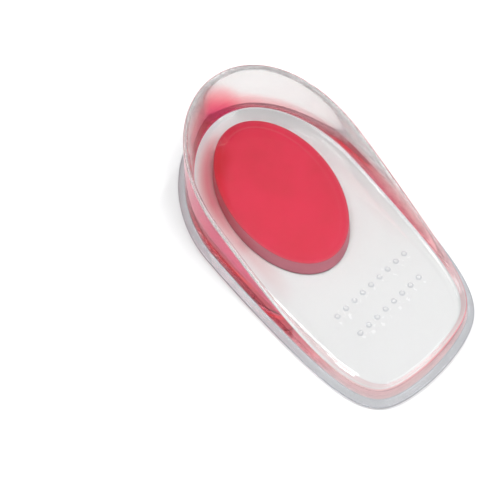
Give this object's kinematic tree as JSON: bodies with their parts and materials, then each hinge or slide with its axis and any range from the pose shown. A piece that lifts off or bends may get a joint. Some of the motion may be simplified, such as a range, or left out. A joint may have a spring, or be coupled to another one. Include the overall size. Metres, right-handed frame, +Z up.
{
  "type": "heel cup",
  "caption": "Clear gel heel cup for a shoe: raised wall round the heel, thin front edge and a soft red oval pad set in the floor.",
  "frame": {"origin": "middle of the footprint, on the surface that the cup rests on", "axes": "+Z up, +Y towards the back of the heel, +X to the right seen from above with the heel at the top"},
  "size_m": [0.061, 0.1138, 0.0244],
  "materials": {
    "clear_gel": "clear soft silicone gel with a smooth glossy skin",
    "red_gel": "soft translucent red gel, satin"
  },
  "bodies": {
    "root": {"cup_body": "clear_gel", "heel_pad": "red_gel"}
  },
  "joints": []
}
